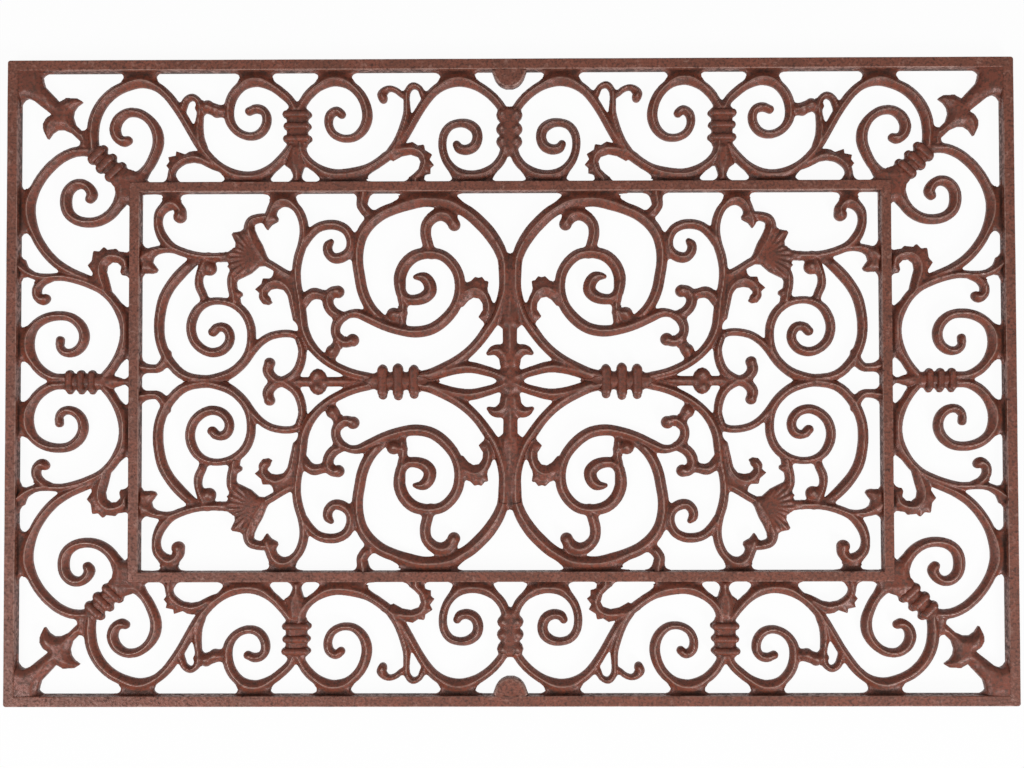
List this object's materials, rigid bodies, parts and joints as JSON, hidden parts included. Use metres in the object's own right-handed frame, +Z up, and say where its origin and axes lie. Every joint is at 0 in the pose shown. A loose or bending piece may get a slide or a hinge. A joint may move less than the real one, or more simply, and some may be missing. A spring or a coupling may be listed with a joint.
{
  "type": "doormat",
  "caption": "Flat rectangular cast iron doormat: an outer and an inner frame, with openwork of scrolls, leaves and ribbed collars in the border and the panel.",
  "frame": {"origin": "on the floor under the middle of the mat", "axes": "+X along the long side to the right, +Y across to the back, +Z up out of the face that is trodden on"},
  "size_m": [0.725, 0.465, 0.01],
  "materials": {
    "rail_iron": "rubbed brown, flat-topped, fine sand-cast grain",
    "scroll_iron": "rubbed brown with near-black hollows and paler worn ridges",
    "collar_iron": "dark brown, rough and pitted"
  },
  "bodies": {
    "root": {"outer_rail_back": "rail_iron", "outer_rail_front": "rail_iron", "outer_rail_left": "rail_iron", "outer_rail_right": "rail_iron", "inner_rail_back": "rail_iron", "inner_rail_front": "rail_iron", "inner_rail_left": "rail_iron", "inner_rail_right": "rail_iron", "long_centre_scroll_back": "collar_iron", "long_centre_scroll_front": "collar_iron", "short_centre_scroll_left": "collar_iron", "short_centre_scroll_right": "collar_iron", "centre_spindle": "scroll_iron", "panel_side_scroll_left": "collar_iron", "panel_side_scroll_right": "collar_iron", "side_collar_scroll_back_left": "scroll_iron", "side_collar_scroll_back_right": "scroll_iron", "side_collar_scroll_front_left": "scroll_iron", "side_collar_scroll_front_right": "scroll_iron", "long_inner_scroll_back_left": "scroll_iron", "long_inner_scroll_back_right": "scroll_iron", "long_inner_scroll_front_left": "scroll_iron", "long_inner_scroll_front_right": "scroll_iron", "long_outer_scroll_back_left": "scroll_iron", "long_outer_scroll_back_right": "scroll_iron", "long_outer_scroll_front_left": "scroll_iron", "long_outer_scroll_front_right": "scroll_iron", "corner_finial_back_left": "scroll_iron", "corner_finial_back_right": "scroll_iron", "corner_finial_front_left": "scroll_iron", "corner_finial_front_right": "scroll_iron", "corner_volutes_back_left": "scroll_iron", "corner_volutes_back_right": "scroll_iron", "corner_volutes_front_left": "scroll_iron", "corner_volutes_front_right": "scroll_iron", "short_scroll_back_left": "scroll_iron", "short_scroll_back_right": "scroll_iron", "short_scroll_front_left": "scroll_iron", "short_scroll_front_right": "scroll_iron", "panel_heart_back_left": "scroll_iron", "panel_heart_back_right": "scroll_iron", "panel_heart_front_left": "scroll_iron", "panel_heart_front_right": "scroll_iron", "panel_ring_back_left": "scroll_iron", "panel_ring_back_right": "scroll_iron", "panel_ring_front_left": "scroll_iron", "panel_ring_front_right": "scroll_iron", "panel_outer_scroll_back_left": "scroll_iron", "panel_outer_scroll_back_right": "scroll_iron", "panel_outer_scroll_front_left": "scroll_iron", "panel_outer_scroll_front_right": "scroll_iron", "palmette_back_left": "scroll_iron", "palmette_back_right": "scroll_iron", "palmette_front_left": "scroll_iron", "palmette_front_right": "scroll_iron", "side_ring_back_left": "scroll_iron", "side_ring_back_right": "scroll_iron", "side_ring_front_left": "scroll_iron", "side_ring_front_right": "scroll_iron"}
  },
  "joints": []
}
